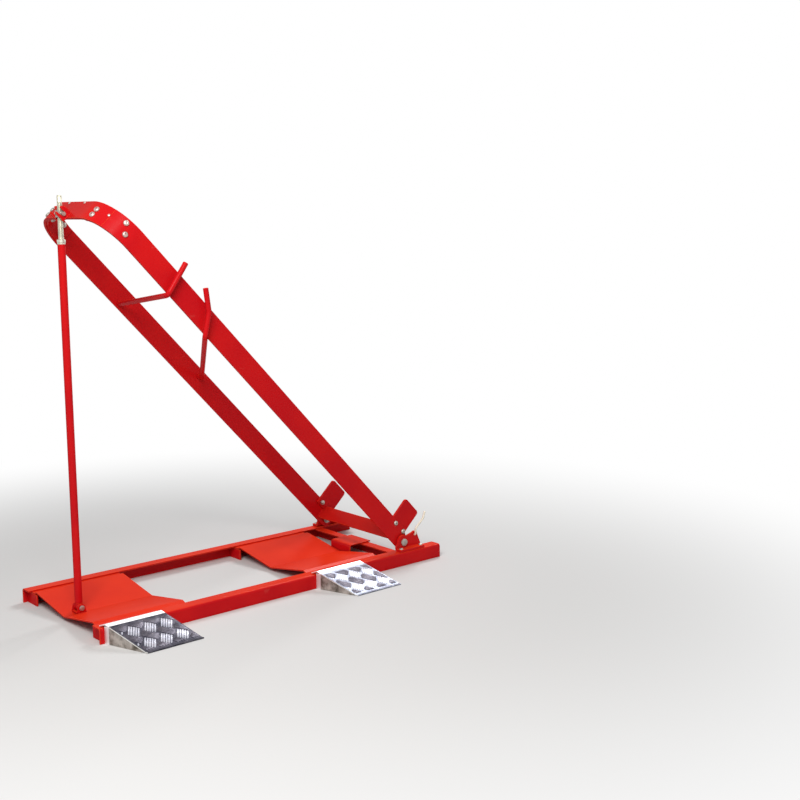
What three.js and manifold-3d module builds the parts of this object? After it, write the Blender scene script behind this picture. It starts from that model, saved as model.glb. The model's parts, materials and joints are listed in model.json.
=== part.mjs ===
// Side-tipping lawn mower lift: a low steel base with two wheel cradles and two loading ramps,
// a strap-steel loop that tilts up at one end of it, and a screw-topped prop that holds the loop.
// Millimetres, +Z up. The origin is on the ground, under the middle of the part.
import * as THREE from 'three';
import { mergeVertices } from 'three/addons/utils/BufferGeometryUtils.js';
import Module from 'manifold-3d';

const wasm = await Module();
wasm.setup();

// General fits
const seatGap = 0.3;
const boreClearance = 0.4;
const cutOverrun = 5;
const bendSteps = 4;

// Base rails, bent angle with the flange on top
const railLength = 1300;
const baseWidth = 505;
const railHeight = 46;
const flangeWidth = 43;
const railSheet = 5;
const railBend = 4;

// Wheel cradles, sheet folded to a V with a lip under each rail flange
const cradleLength = 295;
const leftCradleStart = 14;
const cradleToCross = 57.8;
const cradleRidgeInset = 70;
const cradleLipStep = 14;
const cradleSheet = 5;
const cradleValleyTop = 16;
const cradleBend = 3;
const cradleFootSheet = 5;

// Loading ramps, hooked over the near rail
const rampWidth = 180;
const rampDepth = 150;
const rampRise = 12;
const rampSkew = 50;
const rampSheet = 4;
const rampPeakInset = 2;
const rampLip = 18;
const rampBend = 4;
const rampToeFlat = 8;

// Hinge end of the base
const pivotX = 1154.8;
const pivotClearAboveRail = 1;
const crossLeg = 40;
const crossSheet = 5;
const crossBend = 4;
const crossBehindPivot = 5;
const tieWidth = 105;
const tieSheet = 5;
const tieBend = 6;
const tieStandOff = 4;

// Hinge brackets, pins, washers and collars
const bracketSheet = 8;
const bracketBend = 3;
const bracketFootInset = 5;
const bracketReachBack = 32;
const bracketReachFront = 76;
const bracketHump = 25;
const bracketFootStep = 6;
const lugAhead = 50;
const lugRise = 19;
const lugRadius = 12;
const pinRadius = 8;
const pinHeadRadius = 13;
const pinHeadLength = 6;
const pinTail = 11;
const washerRadius = 15;
const washerThickness = 3.4;
const collarRadius = 13;
const collarLength = 6;

// Tilting loop, strap on edge
const tiltAngle = THREE.MathUtils.degToRad(46.6);
const loopInset = 39;
const loopReach = 1546;
const strapHeight = 66;
const strapThickness = 8;
const loopCorner = 113;
const pivotAboveEdge = 26;
const armTipTaper = 22;

// Splices inside the round corners of the loop: angles are counted round the corner from the arm.
// Each bolt points at the corner's centre, and stands at [angle, height above the strap's lower edge]
const strapJoint = THREE.MathUtils.degToRad(46);
const spliceStart = THREE.MathUtils.degToRad(3);
const spliceEnd = THREE.MathUtils.degToRad(83);
const spliceSheet = 6;
const spliceHeight = 60;
const spliceBoltRadius = 5;
const spliceBolts = [[14.7, 24], [23.5, 51], [69.5, 19], [69.5, 39]];

// Cross strap and end posts at the low end of the loop
const crossStrapFromPivot = 35;
const crossStrapHeight = 50;
const crossStrapDrop = 18;
const postWidth = 80;
const postThickness = 8;
const postFromPivot = 4;
const postRise = 18;
const postTop = 122;
const postCorner = 10;
const postBoltRadius = 5;
const postBoltEdge = 16;
const postBoltRise = 11;

// Stop bars: each stands outside the near arm, passes under it, and ends square on the far arm's
// inner face. A leg is made of [along, rise] steps up from the corner under the near arm
const barRadius = 8;
const barBend = 16;
const barSides = 10;
const barSteps = 72;
const barStandOff = 9;
const barSquareEnd = 19;
const upperBarNear = 1255;
const upperBarDrop = 1.7;
const upperBarLeg = [[22, 106]];
const upperBarSkew = 90;
const upperBarFarRise = 13.5;
const lowerBarBelow = 174;
const lowerBarDrop = 4;
const lowerBarLeg = [[40, 60], [59, 43]];
const lowerBarSkew = 298;
const lowerBarFarRise = 41;

// Fork on the end of the loop, with slots open outwards
const forkGap = 28.6;
const earSheet = 6;
const earLength = 34;
const earAbove = 20;
const earBelow = 15;
const earCorner = 8;
const slotFlare = 3;

// Trunnion nut that rides on the screw and seats in the fork
const trunnionReach = 15;
const trunnionRadius = 6;
const trunnionFit = 0.8;
const trunnionPinOut = 5;
const nutDepth = 21;
const nutHeight = 20;
const nutChamfer = 4;
const nutSideFit = 0.5;

// Prop foot, tube and bush
const footSheet = 4;
const footLength = 30;
const footBend = 1.5;
const footCrown = 12;
const eyeRadius = 10.5;
const eyeFloorGap = 1.5;
const eyeSideFit = 0.8;
const footPinRadius = 5;
const footPinHeadRadius = 8;
const footPinHeadLength = 4;
const footPinTail = 5;
const tubeRadius = 11.25;
const tubeBore = 9.25;
const tubeAbovePivot = 13;
const tubeBelowNut = 86;
const tubeStem = 60;
const bushFlange = 4;
const bushDepth = 30;

// Screw with its thrust collar and driving end
const screwRadius = 7.65;
const screwBottom = 760;
const screwTop = 1241;
const thrustRadius = 12;
const thrustLength = 9;
const hexFlats = 12;
const hexLength = 20;

// Hold-down hook, bent wire that swings in the lug of the near hinge bracket
const hookWire = 3.5;
const hookEyeFit = 0.8;
const hookBend = 4.2;
const hookSides = 8;
const hookSteps = 56;
const hookSideFit = 1;
const hookKeeper = 16;
const hookNeckRise = 22;
const hookNeckLean = 2;
const hookShankRise = 30;
const hookShankOut = 34;
const hookTipRise = 23;
const hookTipOut = 8;

// Values worked out from the sizes above
const middleY = baseWidth / 2;
const flangeUnder = railHeight - railSheet;
const webClear = railSheet + railBend + seatGap;
const pivotZ = railHeight + pivotClearAboveRail + pivotAboveEdge;
const rightCradleStart = pivotX - crossBehindPivot - crossLeg - cradleToCross - cradleLength;
const strapLower = -pivotAboveEdge;
const strapUpper = strapHeight - pivotAboveEdge;
const strapMiddle = (strapLower + strapUpper) / 2;
const loopHalf = middleY - loopInset;
const armInner = loopHalf - strapThickness;
const cornerOuter = loopCorner + strapThickness / 2;
const cornerX = -(loopReach - cornerOuter);
const cornerY = loopHalf - cornerOuter;
const bracketInner = middleY - loopHalf - washerThickness - 2 * seatGap;
const forkHalf = forkGap / 2;
const trunnionX = -(loopReach + trunnionReach);
const propX = pivotX + trunnionX * Math.cos(tiltAngle) + strapLower * Math.sin(tiltAngle);
const trunnionHeight = pivotZ - trunnionX * Math.sin(tiltAngle) + strapLower * Math.cos(tiltAngle);
const tubeTop = trunnionHeight - tubeBelowNut;
const valleySlope = (railHeight - cradleValleyTop) / (middleY - cradleRidgeInset);
const footBottom = cradleValleyTop + valleySlope * (forkHalf - footBend) + seatGap;
const footPivotZ = footBottom + footSheet + eyeFloorGap + eyeRadius;
const postBackX = -postFromPivot - postWidth;
const lugX = pivotX + lugAhead;
const lugZ = pivotZ + lugRise;

const steelRed = { color: 0xb81e24, roughness: 0.35, metalness: 0.1 };
const zinc = { color: 0xc9c4ae, roughness: 0.35, metalness: 0.9 };
const treadPlate = { color: 0xc4c8cf, roughness: 0.3, metalness: 0.95 };

// Axes that turn a flat outline into a piece: the outline's X and Y become the first two axes
const X = new THREE.Vector3(1, 0, 0);
const Y = new THREE.Vector3(0, 1, 0);
const Z = new THREE.Vector3(0, 0, 1);
const alongX = new THREE.Matrix4().makeBasis(Y, Z, X);
const alongY = new THREE.Matrix4().makeBasis(X, Z, Y.clone().negate());

// Keeps positions only and welds them, so that the mesh is closed
function weld(geometry) {
  const bare = geometry.clone();
  bare.deleteAttribute('normal');
  bare.deleteAttribute('uv');
  return mergeVertices(bare);
}

function toSolid(geometry) {
  const closed = weld(geometry);
  const triVerts = new Uint32Array(closed.index.array);
  const vertProperties = new Float32Array(closed.attributes.position.array);
  return new wasm.Manifold(new wasm.Mesh({ numProp: 3, vertProperties, triVerts }));
}

function toGeometry(solid) {
  const mesh = solid.getMesh();
  const geometry = new THREE.BufferGeometry();
  const corners = new Float32Array(mesh.vertProperties);
  geometry.setAttribute('position', new THREE.BufferAttribute(corners, 3));
  geometry.setIndex(new THREE.BufferAttribute(new Uint32Array(mesh.triVerts), 1));
  return geometry;
}

function cut(body, ...tools) {
  return toGeometry(tools.reduce((rest, tool) => rest.subtract(toSolid(tool)), toSolid(body)));
}

function join(body, ...others) {
  return toGeometry(others.reduce((sum, other) => sum.add(toSolid(other)), toSolid(body)));
}

const common = (body, other) => toGeometry(toSolid(body).intersect(toSolid(other)));

// Rounds the corners of a path of [a, b] points
function roundedPath(points, radius, steps) {
  const path = [new THREE.Vector2(...points[0])];
  for (let i = 1; i < points.length - 1; i += 1) {
    const corner = new THREE.Vector2(...points[i]);
    const back = new THREE.Vector2(...points[i - 1]).sub(corner).normalize();
    const ahead = new THREE.Vector2(...points[i + 1]).sub(corner).normalize();
    const halfAngle = Math.acos(THREE.MathUtils.clamp(back.dot(ahead), -1, 1)) / 2;
    const setback = radius / Math.tan(halfAngle);
    const inward = back.clone().add(ahead).normalize();
    const centre = inward.multiplyScalar(radius / Math.sin(halfAngle)).add(corner);
    const start = back.clone().multiplyScalar(setback).add(corner).sub(centre);
    const end = ahead.clone().multiplyScalar(setback).add(corner).sub(centre);
    const sweep = Math.atan2(start.cross(end), start.dot(end));
    for (let step = 0; step <= steps; step += 1) {
      path.push(start.clone().rotateAround(new THREE.Vector2(), sweep * step / steps).add(centre));
    }
  }
  path.push(new THREE.Vector2(...points[points.length - 1]));
  return path;
}

// Outline of a bent sheet, from the middle line of its section
function sheetOutline(points, thickness, radius, steps = bendSteps) {
  const path = roundedPath(points, radius + thickness / 2, steps);
  const sides = [[], []];
  path.forEach((point, i) => {
    const before = path[Math.max(i - 1, 0)];
    const after = path[Math.min(i + 1, path.length - 1)];
    const inward = i > 0 ? point.clone().sub(before).normalize() : after.clone().sub(point).normalize();
    const outward = i < path.length - 1 ? after.clone().sub(point).normalize() : inward;
    const bisector = new THREE.Vector2(-inward.y - outward.y, inward.x + outward.x).normalize();
    const reach = thickness / 2 / Math.max(bisector.dot(new THREE.Vector2(-inward.y, inward.x)), 0.5);
    sides[0].push(point.clone().addScaledVector(bisector, reach));
    sides[1].unshift(point.clone().addScaledVector(bisector, -reach));
  });
  return new THREE.Shape([...sides[0], ...sides[1]]);
}

const outline = points => new THREE.Shape(points.map(point => new THREE.Vector2(...point)));

// A plate or section of the given length, centred on its outline's plane
function extruded(shape, length, axes = new THREE.Matrix4()) {
  const settings = { depth: length, bevelEnabled: false, curveSegments: 8 };
  const geometry = new THREE.ExtrudeGeometry(shape, settings);
  geometry.translate(0, 0, -length / 2);
  return geometry.applyMatrix4(axes);
}

// A section run along X between two places
function runAlongX(shape, from, to) {
  return extruded(shape, to - from, alongX).translate((from + to) / 2, 0, 0);
}

// A plate seen from the side, between two places across the lift
function plateAcross(shape, from, to) {
  return extruded(shape, to - from, alongY).translate(0, (from + to) / 2, 0);
}

// A turned piece about the Y axis, from [radius, station] points that close or end on the axis
function turned(profile, sides = 16) {
  return new THREE.LatheGeometry(profile.map(point => new THREE.Vector2(...point)), sides);
}

function rod(radius, from, to, sides = 16) {
  return turned([[0, from], [radius, from], [radius, to], [0, to]], sides);
}

function ring(outer, inner, from, to, sides = 20) {
  return turned([[inner, from], [outer, from], [outer, to], [inner, to], [inner, from]], sides);
}

// Cuts round holes along Y through a plate, at [x, z] places
const drilled = (plate, radius, places, sides = 10) => cut(plate,
  ...places.map(([x, z]) => rod(radius, -baseWidth, baseWidth, sides).translate(x, 0, z)));

// Sizes of a button-head bolt and its nut, as shares of the bolt's radius
const boltShares = {
  headRadius: 1.75, headLength: 1.1, crownRadius: 1.05, brim: 0.3, nutLength: 1.5, tail: 0.5,
};

// A bolt along Y with its nut drawn up tight: the head is below zero, the grip above it
function tightBolt(radius, grip) {
  const headRadius = radius * boltShares.headRadius;
  const nutEnd = grip + radius * boltShares.nutLength;
  const end = nutEnd + radius * boltShares.tail;
  const headTop = -radius * boltShares.headLength;
  const shank = turned([
    [0, headTop], [radius * boltShares.crownRadius, headTop], [headRadius, -radius * boltShares.brim],
    [headRadius, 0], [radius, 0], [radius, end], [0, end],
  ], 10);
  return join(shank, rod(headRadius, grip, nutEnd, 6));
}

// A round bar swept along a path of 3-D corners with round bends
class BentPath extends THREE.Curve {
  constructor(corners, radius) {
    super();
    this.path = new THREE.CurvePath();
    let from = corners[0];
    for (let i = 1; i < corners.length - 1; i += 1) {
      const back = corners[i - 1].clone().sub(corners[i]).normalize();
      const ahead = corners[i + 1].clone().sub(corners[i]).normalize();
      const setback = radius / Math.tan(back.angleTo(ahead) / 2);
      const start = back.multiplyScalar(setback).add(corners[i]);
      const end = ahead.multiplyScalar(setback).add(corners[i]);
      this.path.add(new THREE.LineCurve3(from, start));
      this.path.add(new THREE.QuadraticBezierCurve3(start, corners[i], end));
      from = end;
    }
    this.path.add(new THREE.LineCurve3(from, corners[corners.length - 1]));
  }

  getPoint(t) {
    return this.path.getPoint(t);
  }
}

function bentBar(corners, barSize, radius, sides, steps) {
  const circle = new THREE.Shape(Array.from({ length: sides }, (_, i) => {
    const angle = 2 * Math.PI * i / sides;
    return new THREE.Vector2(barSize * Math.cos(angle), barSize * Math.sin(angle));
  }));
  const extrudePath = new BentPath(corners, radius);
  return new THREE.ExtrudeGeometry(circle, { steps, extrudePath, bevelEnabled: false });
}

const lift = new THREE.Group();
lift.position.set(-railLength / 2, -(baseWidth - rampDepth) / 2, 0);
const loop = new THREE.Group();
loop.position.set(pivotX, middleY, pivotZ);
loop.rotation.y = tiltAngle;
lift.add(loop);
const prop = new THREE.Group();
prop.position.set(propX, middleY, footPivotZ);
lift.add(prop);

function place(parent, name, geometry, finish) {
  const mesh = new THREE.Mesh(geometry, new THREE.MeshStandardMaterial(finish));
  mesh.name = name;
  parent.add(mesh);
}

// The two sides of the lift: inset turns a distance from the near edge into a place on either side,
// sign is the side of the middle plane, and turn swings a piece made for the near side to the far one
const bothSides = [
  { side: 'near', sign: -1, inset: y => y, turn: geometry => geometry },
  { side: 'far', sign: 1, inset: y => baseWidth - y, turn: geometry => geometry.rotateX(Math.PI) },
];

function addRails() {
  for (const { side, inset } of bothSides) {
    const section = sheetOutline([
      [inset(railSheet / 2), 0], [inset(railSheet / 2), railHeight - railSheet / 2],
      [inset(flangeWidth), railHeight - railSheet / 2],
    ], railSheet, railBend);
    place(lift, `${side}_rail`, runAlongX(section, 0, railLength), steelRed);
  }
}

function addCradle(name, start) {
  const lip = flangeUnder - seatGap - cradleSheet / 2;
  const ridge = railHeight - cradleSheet / 2;
  const lipEnd = cradleRidgeInset - cradleLipStep;
  const valley = cradleValleyTop - cradleSheet / 2;
  const section = sheetOutline([
    [webClear, lip], [lipEnd, lip], [cradleRidgeInset, ridge], [middleY, valley],
    [baseWidth - cradleRidgeInset, ridge], [baseWidth - lipEnd, lip], [baseWidth - webClear, lip],
  ], cradleSheet, cradleBend);
  place(lift, `${name}_cradle`, runAlongX(section, start, start + cradleLength), steelRed);

  const footTop = lip - cradleSheet / 2 - seatGap;
  for (const { side, inset } of bothSides) {
    const foot = outline([
      [inset(railSheet + seatGap), 0], [inset(cradleRidgeInset), 0], [inset(cradleRidgeInset), footTop],
      [inset(railSheet + seatGap), footTop],
    ]);
    const plate = runAlongX(foot, start, start + cradleFootSheet);
    place(lift, `${name}_cradle_${side}_foot`, plate, steelRed);
  }
}

function addRamp(name, start) {
  const peak = railHeight + rampRise - rampSheet / 2;
  const toe = rampSheet / 2;
  const lean = new THREE.Matrix4().makeShear(0, 0, -rampSkew / rampDepth, 0, 0, 0);
  const section = sheetOutline([
    [-rampDepth, toe], [-rampDepth + rampToeFlat, toe], [-rampPeakInset, peak],
    [rampLip, railHeight + seatGap + rampSheet / 2],
  ], rampSheet, rampBend);
  const deck = runAlongX(section, start, start + rampWidth).applyMatrix4(lean);
  place(lift, `${name}_ramp_deck`, deck, treadPlate);

  const slope = Math.atan2(peak - toe, rampDepth - rampToeFlat - rampPeakInset);
  const sheetDrop = (rampSheet / 2 + seatGap) / Math.cos(slope);
  const underside = y => toe + (y + rampDepth - rampToeFlat) * Math.tan(slope) - sheetDrop;
  const shoulder = -rampPeakInset - rampSheet - rampBend;
  const cheekStart = -rampDepth + rampToeFlat + (rampSheet + sheetDrop - toe) / Math.tan(slope);
  const cheek = outline([
    [cheekStart, 0], [-seatGap, 0], [-seatGap, underside(shoulder)], [shoulder, underside(shoulder)],
    [cheekStart, underside(cheekStart)],
  ]);
  const places = { left: start, right: start + rampWidth - rampSheet };
  for (const [side, at] of Object.entries(places)) {
    const plate = runAlongX(cheek, at, at + rampSheet).applyMatrix4(lean);
    place(lift, `${name}_ramp_${side}_cheek`, plate, treadPlate);
  }
}

function addHingeEnd() {
  const right = pivotX - crossBehindPivot;
  const top = flangeUnder - seatGap;
  const crossSection = sheetOutline([
    [right - crossLeg, top - crossSheet / 2], [right - crossSheet / 2, top - crossSheet / 2],
    [right - crossSheet / 2, 0],
  ], crossSheet, crossBend);
  const cross = plateAcross(crossSection, webClear, baseWidth - webClear);
  place(lift, 'hinge_cross_member', cross, steelRed);

  const left = rightCradleStart + cradleLength + tieStandOff + tieSheet / 2;
  const tieSection = sheetOutline([
    [left, 0], [left, top + seatGap + tieSheet / 2], [right, top + seatGap + tieSheet / 2],
  ], tieSheet, tieBend);
  const tie = plateAcross(tieSection, middleY - tieWidth / 2, middleY + tieWidth / 2);
  place(lift, 'centre_tie_plate', tie, steelRed);
}

function bracketProfile(withLug) {
  const seat = railHeight + seatGap;
  const step = seat + bracketSheet + bracketFootStep;
  const profile = new THREE.Shape();
  profile.moveTo(pivotX - bracketReachBack, seat);
  profile.lineTo(pivotX + bracketReachFront, seat);
  profile.lineTo(pivotX + bracketReachFront, step);
  if (withLug) {
    profile.absarc(lugX, lugZ, lugRadius, 0, Math.PI * 0.75);
  }
  profile.absarc(pivotX, pivotZ, bracketHump, Math.PI * 0.3, Math.PI);
  profile.lineTo(pivotX - bracketReachBack, step);
  return profile;
}

function addHinges() {
  const seat = railHeight + seatGap;
  const top = lugZ + lugRadius + cutOverrun;
  const headUnder = bracketInner - bracketSheet - seatGap;
  const armFace = middleY - armInner;
  const loopFace = middleY - loopHalf;
  const blankFrom = pivotX - bracketReachBack - cutOverrun;
  const blankTo = pivotX + bracketReachFront + cutOverrun;
  const pinHole = pinRadius + boreClearance;
  for (const { side, inset, turn } of bothSides) {
    const upright = inset(bracketInner - bracketSheet / 2);
    const section = sheetOutline([
      [inset(bracketFootInset), seat + bracketSheet / 2], [upright, seat + bracketSheet / 2],
      [upright, top],
    ], bracketSheet, bracketBend);
    const blank = runAlongX(section, blankFrom, blankTo);
    const trim = plateAcross(bracketProfile(side === 'near'), -cutOverrun, baseWidth + cutOverrun);
    const bored = drilled(common(blank, trim), pinHole, [[pivotX, pivotZ]], 16);
    const eyed = () => drilled(bored, hookWire + hookEyeFit, [[lugX, lugZ]], 12);
    place(lift, `${side}_hinge_bracket`, side === 'near' ? eyed() : bored, steelRed);

    const seated = piece => turn(piece.translate(0, -middleY, 0)).translate(pivotX, middleY, pivotZ);
    place(lift, `${side}_hinge_pin`, seated(turned([
      [0, headUnder - pinHeadLength], [pinHeadRadius, headUnder - pinHeadLength],
      [pinHeadRadius, headUnder], [pinRadius, headUnder], [pinRadius, armFace + pinTail],
      [0, armFace + pinTail],
    ])), zinc);
    const washer = ring(washerRadius, pinHole, bracketInner + seatGap, loopFace - seatGap);
    place(lift, `${side}_hinge_washer`, seated(washer), zinc);
    const collarStart = armFace + seatGap;
    const collar = ring(collarRadius, pinHole, collarStart, collarStart + collarLength);
    place(lift, `${side}_pin_collar`, seated(collar), zinc);
  }
}

const spliceHole = spliceBoltRadius + boreClearance;
const postHole = postBoltRadius + boreClearance;
const postBoltPlaces = [postBackX + postBoltEdge, -postFromPivot - postBoltEdge];
const postBolts = postBoltPlaces.map(x => [x, postRise + postBoltRise]);

// A plate on the near or far side, between two distances from the middle plane
function layer(profile, sign, inner, outer) {
  const faces = [sign * inner, sign * outer].sort((a, b) => a - b);
  return plateAcross(profile, ...faces);
}

// A strap that follows the whole loop in plan, its outer face the given depth inside the loop's own
function loopStrap(depth, thickness, height) {
  const half = loopHalf - depth - thickness / 2;
  const end = -(loopReach - depth - thickness / 2);
  const plan = sheetOutline([
    [pivotAboveEdge, -half], [end, -half], [end, half], [pivotAboveEdge, half],
  ], thickness, cornerOuter - depth - thickness, 3 * bendSteps);
  return extruded(plan, height).translate(0, 0, strapMiddle);
}

// Place at an angle round a corner of the loop, a distance from the corner's centre
const roundCorner = (sign, angle, reach) => [
  cornerX - reach * Math.sin(angle), sign * (cornerY + reach * Math.cos(angle)),
];

// Turn about Z that points a piece made along Y out through a corner at an angle
const outThroughCorner = (sign, angle) => (sign < 0 ? Math.PI - angle : angle);

// Block that holds an arm up to its joint with the bent end, less or more by half a gap
function armBlock(sign, shift) {
  const reach = 2 * cornerOuter;
  const [outX, outY] = roundCorner(sign, strapJoint, reach);
  const besideX = shift * Math.cos(strapJoint);
  const besideY = sign * shift * Math.sin(strapJoint);
  const tip = pivotAboveEdge + cutOverrun;
  return extruded(outline([
    [cornerX + besideX, sign * cornerY + besideY], [outX + besideX, outY + besideY],
    [tip, outY + besideY], [tip, sign * cornerY + besideY],
  ]), 2 * strapHeight);
}

function spliceHoles(sign) {
  return spliceBolts.map(([degrees, height]) => {
    const angle = THREE.MathUtils.degToRad(degrees);
    const hole = rod(spliceHole, cornerOuter / 2, cornerOuter + cutOverrun, 10);
    return hole.rotateZ(outThroughCorner(sign, angle))
      .translate(cornerX, sign * cornerY, strapLower + height);
  });
}

function addStrap() {
  const profile = new THREE.Shape();
  profile.moveTo(-loopReach - cutOverrun, strapUpper + cutOverrun);
  profile.lineTo(-loopReach - cutOverrun, strapLower - cutOverrun);
  profile.lineTo(0, strapLower - cutOverrun);
  profile.lineTo(0, strapLower);
  profile.absarc(0, 0, pivotAboveEdge, -Math.PI / 2, Math.PI / 2);
  profile.lineTo(-armTipTaper, strapUpper);
  profile.lineTo(-armTipTaper, strapUpper + cutOverrun);
  const tips = plateAcross(profile, -loopHalf - cutOverrun, loopHalf + cutOverrun);
  const strap = common(loopStrap(0, strapThickness, strapHeight), tips);
  const blocks = bothSides.map(({ sign }) => armBlock(sign, -seatGap / 2));
  const holes = bothSides.flatMap(({ sign }) => spliceHoles(sign));
  place(loop, 'loop_end_bend', cut(strap, ...blocks, ...holes), steelRed);
  for (const { side, sign } of bothSides) {
    const whole = cut(common(strap, armBlock(sign, seatGap / 2)), ...spliceHoles(sign));
    const bored = drilled(whole, pinRadius + boreClearance, [[0, 0]], 16);
    place(loop, `${side}_arm`, drilled(bored, postHole, postBolts), steelRed);
  }
}

function addSplices() {
  const inner = loopStrap(strapThickness + seatGap, spliceSheet, spliceHeight);
  const grip = strapThickness + spliceSheet + 4 * seatGap;
  for (const { side, sign } of bothSides) {
    const sector = outline([
      [cornerX, sign * cornerY], roundCorner(sign, spliceStart, 2 * cornerOuter),
      roundCorner(sign, spliceEnd, 2 * cornerOuter),
    ]);
    const plate = cut(common(inner, extruded(sector, 2 * strapHeight)), ...spliceHoles(sign));
    place(loop, `${side}_splice_plate`, plate, steelRed);
    spliceBolts.forEach(([degrees, height], i) => {
      const angle = THREE.MathUtils.degToRad(degrees);
      const [x, y] = roundCorner(sign, angle, cornerOuter + seatGap);
      const bolt = tightBolt(spliceBoltRadius, grip).rotateZ(outThroughCorner(sign, angle) + Math.PI);
      place(loop, `${side}_splice_bolt_${i + 1}`, bolt.translate(x, y, strapLower + height), zinc);
    });
  }
}

function addLowEnd() {
  const half = armInner - seatGap;
  const coped = armInner - 3 * seatGap - postThickness;
  const cope = postRise - 2 * seatGap;
  const top = crossStrapHeight - crossStrapDrop;
  const across = outline([
    [-half, -crossStrapDrop], [half, -crossStrapDrop], [half, cope], [coped, cope], [coped, top],
    [-coped, top], [-coped, cope], [-half, cope],
  ]);
  place(loop, 'lower_cross_strap', runAlongX(across, -crossStrapFromPivot - strapThickness / 2,
    -crossStrapFromPivot + strapThickness / 2), steelRed);

  const grip = strapThickness + postThickness + 3 * seatGap;
  for (const { side, sign, turn } of bothSides) {
    const profile = new THREE.Shape();
    profile.moveTo(postBackX, postRise);
    profile.lineTo(-postFromPivot, postRise);
    profile.absarc(-postFromPivot - postCorner, postTop - postCorner, postCorner, 0, Math.PI / 2);
    profile.absarc(postBackX + postCorner, postTop - postCorner, postCorner, Math.PI / 2, Math.PI);
    const post = drilled(layer(profile, sign, half - postThickness, half), postHole, postBolts);
    place(loop, `${side}_end_post`, post, steelRed);
    postBolts.forEach(([x, z], i) => {
      const bolt = turn(tightBolt(postBoltRadius, grip)).translate(x, sign * (loopHalf + seatGap), z);
      place(loop, `${side}_post_bolt_${i + 1}`, bolt, zinc);
    });
  }
}

function addStopBar(name, near, drop, leg, skew, farRise) {
  const legY = loopHalf + barStandOff + barRadius;
  const low = strapLower - drop - barRadius;
  const farEnd = armInner - seatGap;
  const corners = [new THREE.Vector3(-near, -legY, low)];
  for (const [along, rise] of leg) {
    corners.unshift(corners[0].clone().add(new THREE.Vector3(-along, 0, rise)));
  }
  corners.push(new THREE.Vector3(skew - near, farEnd - barSquareEnd, strapLower + farRise));
  corners.push(new THREE.Vector3(skew - near, farEnd, strapLower + farRise));
  place(loop, name, bentBar(corners, barRadius, barBend, barSides, barSteps), steelRed);
}

function addFork() {
  const face = -(loopReach + seatGap);
  const outer = -(loopReach + earLength);
  const slot = trunnionRadius + trunnionFit;
  const bottom = strapLower - earBelow;
  const top = strapLower + earAbove;
  const profile = new THREE.Shape();
  profile.moveTo(face, bottom);
  profile.lineTo(face, top);
  profile.lineTo(outer + earCorner, top);
  profile.lineTo(outer, top - earCorner);
  profile.lineTo(outer, strapLower + slot);
  profile.absarc(trunnionX, strapLower, slot, Math.PI / 2, -Math.PI / 2, true);
  profile.lineTo(outer, strapLower - slot - slotFlare);
  profile.lineTo(outer, bottom + earCorner / 2);
  profile.lineTo(outer + earCorner / 2, bottom);
  for (const { side, sign } of bothSides) {
    place(loop, `${side}_fork_ear`, layer(profile, sign, forkHalf, forkHalf + earSheet), steelRed);
  }
}

function addHook() {
  const inside = bracketInner + hookSideFit + hookWire;
  const outside = bracketInner - bracketSheet - hookSideFit - hookWire;
  const corners = [
    new THREE.Vector3(lugX + hookKeeper, inside, lugZ), new THREE.Vector3(lugX, inside, lugZ),
    new THREE.Vector3(lugX, outside, lugZ),
  ];
  const runs = [[hookNeckLean, hookNeckRise], [hookShankOut, hookShankRise], [hookTipOut, hookTipRise]];
  for (const [across, rise] of runs) {
    corners.push(corners[corners.length - 1].clone().add(new THREE.Vector3(across, 0, rise)));
  }
  place(lift, 'hold_down_hook', bentBar(corners, hookWire, hookBend, hookSides, hookSteps), zinc);
}

// Stands a piece turned about Y upright
const stood = geometry => geometry.rotateX(Math.PI / 2);

function addPropFoot() {
  const wall = forkHalf + footSheet / 2;
  const top = footPivotZ + footCrown + cutOverrun;
  const section = sheetOutline([
    [middleY - wall, top], [middleY - wall, footBottom + footSheet / 2],
    [middleY + wall, footBottom + footSheet / 2], [middleY + wall, top],
  ], footSheet, footBend);
  const blank = runAlongX(section, propX - footLength / 2, propX + footLength / 2);
  const profile = new THREE.Shape();
  profile.moveTo(propX - footLength / 2, footBottom - cutOverrun);
  profile.lineTo(propX + footLength / 2, footBottom - cutOverrun);
  profile.lineTo(propX + footLength / 2, footBottom + footSheet);
  profile.absarc(propX, footPivotZ, footCrown, 0, Math.PI);
  profile.lineTo(propX - footLength / 2, footBottom + footSheet);
  const trim = plateAcross(profile, middleY - forkGap, middleY + forkGap);
  const pinHole = footPinRadius + boreClearance;
  const bracket = drilled(common(blank, trim), pinHole, [[propX, footPivotZ]], 16);
  place(lift, 'prop_foot_bracket', bracket, steelRed);

  const headUnder = -forkHalf - footSheet - seatGap;
  const tail = forkHalf + footSheet + footPinTail;
  const pin = turned([
    [0, headUnder - footPinHeadLength], [footPinHeadRadius, headUnder - footPinHeadLength],
    [footPinHeadRadius, headUnder], [footPinRadius, headUnder], [footPinRadius, tail], [0, tail],
  ]);
  place(lift, 'prop_foot_pin', pin.translate(propX, middleY, footPivotZ), zinc);
}

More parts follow.
